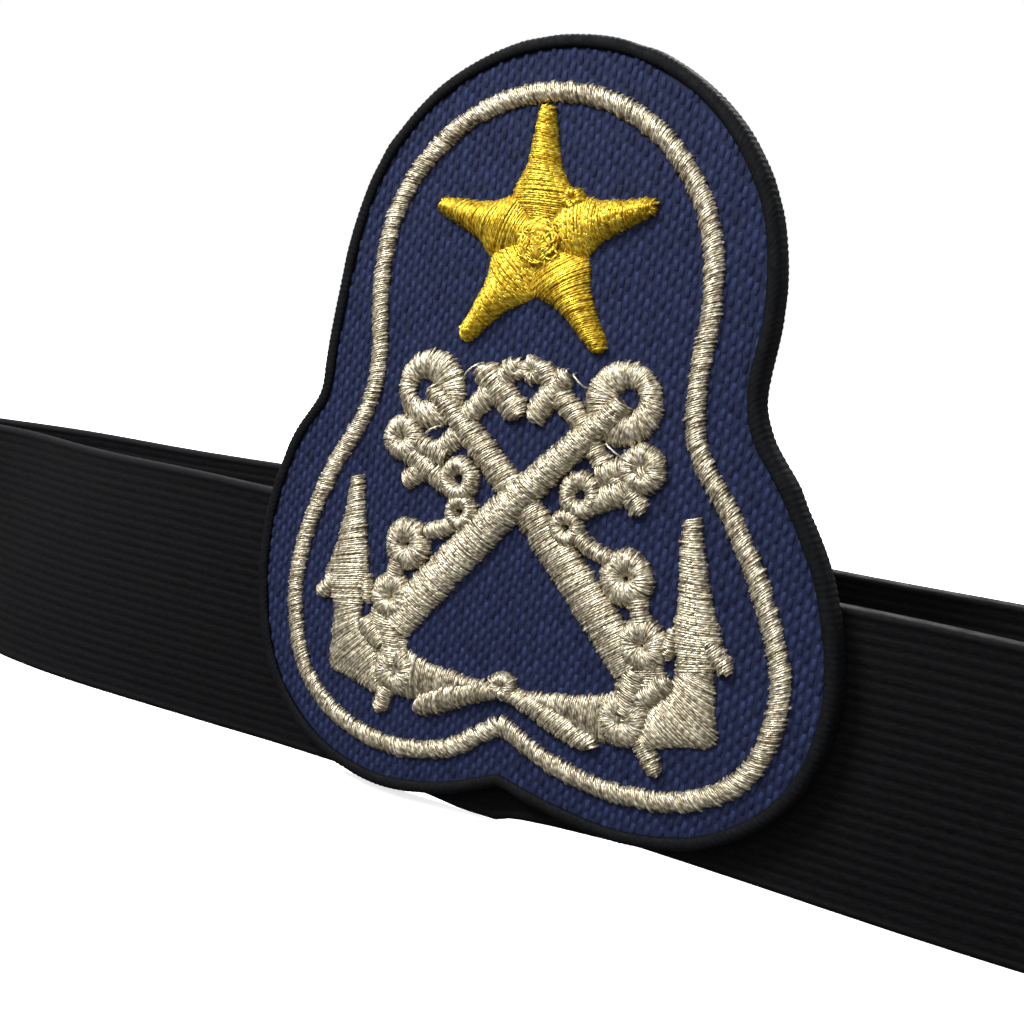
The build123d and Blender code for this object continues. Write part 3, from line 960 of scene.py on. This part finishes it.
# The two flukes differ: the left one leans out more and the right one stands straighter
BLADES = {
    -1: (
        [(20.3, 0.3), (19.8, -3.6), (19.2, -7.6), (18.7, -11.0), (19.4, -14.6)],
        [(21.8, 0.3), (22.6, -4.2), (23.6, -8.2), (24.8, -11.4), (23.4, -14.4)],
    ),
    1: (
        [(18.7, 0.2), (18.7, -3.7), (18.9, -7.6), (18.7, -11.0), (19.4, -14.6)],
        [(20.5, 0.2), (21.5, -4.2), (22.6, -8.2), (23.8, -11.4), (23.4, -14.4)],
    ),
}
BLADE_HEIGHTS = [0.9, 1.1, 1.2, 1.2, 1.0]
BARBS = {-1: [(22.9, -11.4), (25.4, -13.9)], 1: [(22.3, -11.6), (24.9, -14.2)]}
INNER_BARB = [(18.8, -10.7), (18.4, -13.9)]
BLOCK_INNER = [(19.5, -13.6), (19.3, -15.8), (18.2, -17.4), (17.0, -19.0), (16.3, -21.2), (15.9, -23.4)]
BLOCKS_OUTER = {
    -1: [(23.3, -14.2), (23.4, -18.4), (23.4, -22.2), (20.8, -23.0), (18.4, -23.7), (16.4, -24.3)],
    1: [(23.3, -14.2), (23.7, -18.2), (24.1, -21.6), (21.3, -22.3), (18.7, -23.0), (16.5, -23.8)],
}
CROTCH = [(19.0, -16.0), (16.2, -18.4)]
GUSSET_OUTER = [(17.6, -13.6), (18.2, -15.6), (17.4, -18.4), (16.6, -21.0)]
GUSSET_INNER = [(14.0, -14.4), (13.4, -16.4), (12.8, -18.2), (13.0, -21.0)]
PALM = [(15.2, -15.8), (14.8, -18.0), (14.3, -20.2)]
FILL_UPPER = [(14.0, -18.0), (10.0, -19.3), (6.0, -19.9), (2.0, -20.3)]
FILL_LOWER = [(14.0, -23.8), (10.0, -23.8), (6.0, -22.2), (2.0, -21.4)]
ARM_PATH = [(0.6, -20.8), (4.0, -21.7), (7.6, -23.1), (11.0, -24.5)]
ARM_WIDTHS = [1.7, 2.4, 2.9, 2.2]
BILLS = {1: [(16.2, -22.8), (18.4, -25.9)], -1: [(14.9, -23.0), (16.2, -26.1)]}


def flip(points, side):
    return [(side * x, y) for x, y in points]


def build_anchor(name, side, seed, shank_heights):
    """An anchor whose flukes lie on the side given and whose ring lies on the other."""

    def ring(s):
        centre, hole = RINGS[side]
        s.fan(centre, 1.3, 4.3, 0.9, hole=hole, twist=side * 16, ragged=0.12)

    def outer_fluke(s):
        blade = [flip(edge, side) for edge in BLADES[side]]
        s.satin(*blade, BLADE_HEIGHTS, slant=side * 0.5, split=1.7 if side > 0 else 0.0)
        s.satin(flip(BLOCK_INNER, side), flip(BLOCKS_OUTER[side], side), 0.95)
        s.column(flip(INNER_BARB, side), [1.3, 1.5], 1.05, rounded=(0.7, 0.7))
        s.column(flip(BARBS[side], side), [2.2, 1.9], 1.05, rounded=(0.0, 0.8))

    def inner_arm(s):
        s.satin(flip(GUSSET_OUTER, side), flip(GUSSET_INNER, side), 0.8)
        s.satin(flip(FILL_UPPER, side), flip(FILL_LOWER, side), 0.85)
        s.column(flip(ARM_PATH, side), ARM_WIDTHS, [1.15, 1.2, 1.2, 1.0], slant=1.0, rounded=(0.0, 1.0))
        s.fan((side * 14.1, -21.0), 0.25, 2.8, 1.1)
        s.column(flip(PALM, side), [3.0, 2.9, 2.6], 1.2, slant=0.5)
        s.column(flip(CROTCH, side), [2.4, 2.4], 1.1, rounded=(0.8, 0.0))
        if side < 0:
            s.fan((0.0, -20.2), 0.15, 1.6, 1.3)

    def bill(s):
        s.column(flip(BILLS[side], side), [2.1, 1.8], 0.95, rounded=(0.0, 0.8))

    def shank(s):
        split = 1.5 if side < 0 else 0.0
        s.column(flip(SHANK_PATH, side), SHANK_WIDTHS, shank_heights, slant=side * 0.6, split=split)

    def stock(s):
        s.column(flip(STOCK_LOWER, side), [2.4, 2.2, 2.0], 0.95, slant=0.5)
        s.column(flip(KNOB, side), [2.3, 2.4], 1.0, rounded=(0.0, 0.8))
        s.column(flip(STOCK_UPPER, side), [2.4, 2.5, 2.2], 0.95, slant=0.5)

    for work in (ring, outer_fluke, inner_arm, bill, shank, stock):
        part = work.__name__
        sewing = Sewing(seed + len(part))
        work(sewing)
        sewing.finish(f"{name}_{part}_satin", *silver, f"{name}_{part}")


build_anchor("under_anchor", 1, 50, [1.45, 1.3, 0.95, 1.1, 1.0])
build_anchor("over_anchor", -1, 70, [1.6, 1.65, 1.75, 1.45, 1.1])

# The rope's curls on each side, from the stock down, and the radii of each one's hole and rim
CURLS = {
    -1: [(15.0, 5.3), (7.4, 1.4), (6.8, -2.1), (13.5, -6.5), (15.1, -12.7)],
    1: [(13.9, 4.6), (7.4, 1.3), (6.1, -2.2), (13.2, -6.5), (15.6, -13.0)],
}
CURL_RADII = [(0.3, 2.6), (0.65, 2.5), (0.45, 2.0), (0.4, 2.95), (0.3, 2.8)]
# Stretches of rope between the curls: each has a path and its widths
LINKS = [
    ([(14.6, 4.0), (11.8, 2.2), (8.8, 0.6)], [2.8, 2.7, 2.4]),
    ([(13.2, 4.8), (9.2, 3.6)], [2.4, 2.6]),
    ([(7.2, -3.0), (9.4, -4.3), (12.0, -5.0)], [1.8, 1.7, 1.8]),
    ([(14.7, -8.6), (15.3, -10.8)], [2.1, 2.1]),
]
WRAPS = [
    ([(-5.7, 13.7), (-3.1, 11.3), (-0.5, 8.7)], [3.1, 3.3, 2.9]),
    ([(4.9, 13.6), (2.9, 11.3), (0.9, 8.7)], [2.5, 2.8, 2.7]),
]
LOOSE_THREADS = [
    ((-7.6, 12.4), (-5.4, 14.2)), ((-12.0, 5.9), (-9.9, 7.1)),
    ((5.5, 13.7), (7.1, 12.2)), ((9.7, 7.0), (12.1, 5.4)),
]


def build_rope():
    """The rope that curls down both anchors, and the wraps where the stocks meet at the top."""
    for name, side, seed in (("rope_left", -1, 90), ("rope_right", 1, 91)):
        sewing = Sewing(seed)
        for path, widths in LINKS:
            sewing.column(flip(path, side), widths, 1.1)
        for centre, radii in zip(flip(CURLS[side], side), CURL_RADII):
            sewing.fan(centre, *radii, 1.2, twist=side * 24, ragged=0.1)
        sewing.finish(f"{name}_satin", *silver, name)

    sewing = Sewing(92)
    for path, widths in WRAPS:
        sewing.column(path, widths, 1.05, slant=0.3, rounded=(0.9, 0.9))
    sewing.fan((-1.3, 13.7), 0.1, 1.1, 0.95)
    sewing.fan((0.6, 13.7), 0.1, 1.45, 1.0)
    for start, end in LOOSE_THREADS:
        sewing.loose(start, end)
    sewing.finish("rope_crossing_satin", *silver, "rope_crossing")


build_rope()

# ---- floor, light and camera

FLOOR_REACH = 6.0
FLOOR_GAP = 0.0002


def build_floor():
    """A wide pale floor under the band's lower edge."""
    line = np.linspace(-FLOOR_REACH, FLOOR_REACH, 25)
    x, y = np.meshgrid(line, line, indexing="ij")
    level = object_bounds()[0][2] - FLOOR_GAP
    points = np.stack([x, y, np.full_like(x, level)], -1).reshape(-1, 3)
    material, tree, shader = new_material("pale_floor", 0.8, specular=0.1)
    colour = ramp(tree, noise(tree, 3.0), (0.3, (0.93, 0.93, 0.93)), (0.7, (0.95, 0.95, 0.95)))
    tree.links.new(colour, shader.inputs["Base Color"])
    shader.inputs["Emission Color"].default_value = (1, 1, 1, 1)
    shader.inputs["Emission Strength"].default_value = 0.72
    floor = make_object("floor", points, grid_faces(len(line), len(line)), material)
    floor.visible_diffuse = False  # it takes shadows but doesn't light the object from below
    floor.visible_glossy = False


LIT = Vector((0, 0, 0.035))  # where every light points


def build_light(name, place, size, power):
    lamp = bpy.data.lights.new(name, "AREA")
    lamp.energy = power
    lamp.size = size
    light = bpy.data.objects.new(name, lamp)
    light.location = place
    light.rotation_mode = "QUATERNION"
    light.rotation_quaternion = (LIT - Vector(place)).to_track_quat("-Z", "Y")
    scene.collection.objects.link(light)


def build_world():
    """White to the camera; as a light, brighter overhead and dim below, so that black cloth stays black."""
    world = bpy.data.worlds.new("studio")
    world.use_nodes = True
    tree = world.node_tree
    place = add_node(tree, "ShaderNodeTexCoord")
    split = add_node(tree, "ShaderNodeSeparateXYZ")
    tree.links.new(place.outputs["Generated"], split.inputs["Vector"])
    rise = calculate(tree, "MULTIPLY_ADD", split.outputs["Z"], 0.5, 0.5)
    sky = tree.nodes["Background"]
    tree.links.new(ramp(tree, rise, (0.35, 0.16), (0.55, 0.5), (0.95, 1.0)), sky.inputs["Color"])
    shown = add_node(tree, "ShaderNodeBackground", Color=(1, 1, 1, 1))
    path = add_node(tree, "ShaderNodeLightPath")
    choose = add_node(tree, "ShaderNodeMixShader")
    tree.links.new(path.outputs["Is Camera Ray"], choose.inputs["Fac"])
    tree.links.new(sky.outputs["Background"], choose.inputs[1])
    tree.links.new(shown.outputs["Background"], choose.inputs[2])
    tree.links.new(choose.outputs["Shader"], tree.nodes["World Output"].inputs["Surface"])
    scene.world = world


CAMERA_PLACE = Vector((0.0605, -0.1253, 0.0496))
CAMERA_LOOK = Vector((-0.4785, 0.8691, -0.1255))
CAMERA_ROLL = radians(7.0)
LENS = 42.19


def build_camera():
    """Close to the badge's right, looking a little down, rolled so that the band falls to the right."""
    lens = bpy.data.cameras.new("camera")
    lens.lens = LENS
    lens.clip_start = 0.005
    lens.clip_end = 50.0
    turn = CAMERA_LOOK.to_track_quat("-Z", "Y").to_matrix() @ Matrix.Rotation(CAMERA_ROLL, 3, "Z")
    camera = bpy.data.objects.new("camera", lens)
    camera.matrix_world = Matrix.Translation(CAMERA_PLACE) @ turn.to_4x4()
    scene.collection.objects.link(camera)
    scene.camera = camera


build_floor()
build_light("key", (-0.14, -0.21, 0.26), 0.11, 1.6)
build_light("fill", (0.10, -0.60, 0.40), 0.4, 1.3)
build_light("back", (-0.14, 0.34, 0.52), 0.3, 8.0)
build_world()
build_camera()
scene.view_settings.view_transform = "Standard"
